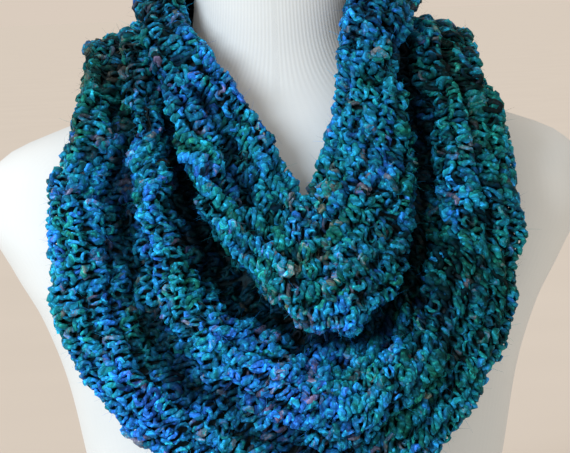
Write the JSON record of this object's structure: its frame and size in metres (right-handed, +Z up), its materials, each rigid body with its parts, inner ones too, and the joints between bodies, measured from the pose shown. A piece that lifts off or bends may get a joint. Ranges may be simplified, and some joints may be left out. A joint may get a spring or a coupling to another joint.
{
  "type": "infinity scarf on a limbless dress form",
  "caption": "Bulky knit infinity scarf, doubled round the neck and draped over the chest of a smooth limbless dress form with a flat base.",
  "frame": {"origin": "centre of the dress form's flat base", "axes": "+Z up, the form's front faces -Y, and the viewer's right is +X"},
  "size_m": [0.414, 0.2714, 0.505],
  "materials": {
    "form_cover": "white fine-ribbed jersey cover",
    "upper_knit": "bulky blue and teal variegated garter knit",
    "lower_knit": "bulky teal and blue variegated garter knit"
  },
  "bodies": {
    "root": {"dress_form": "form_cover", "upper_wrap": "upper_knit", "lower_wrap": "lower_knit"}
  },
  "joints": []
}
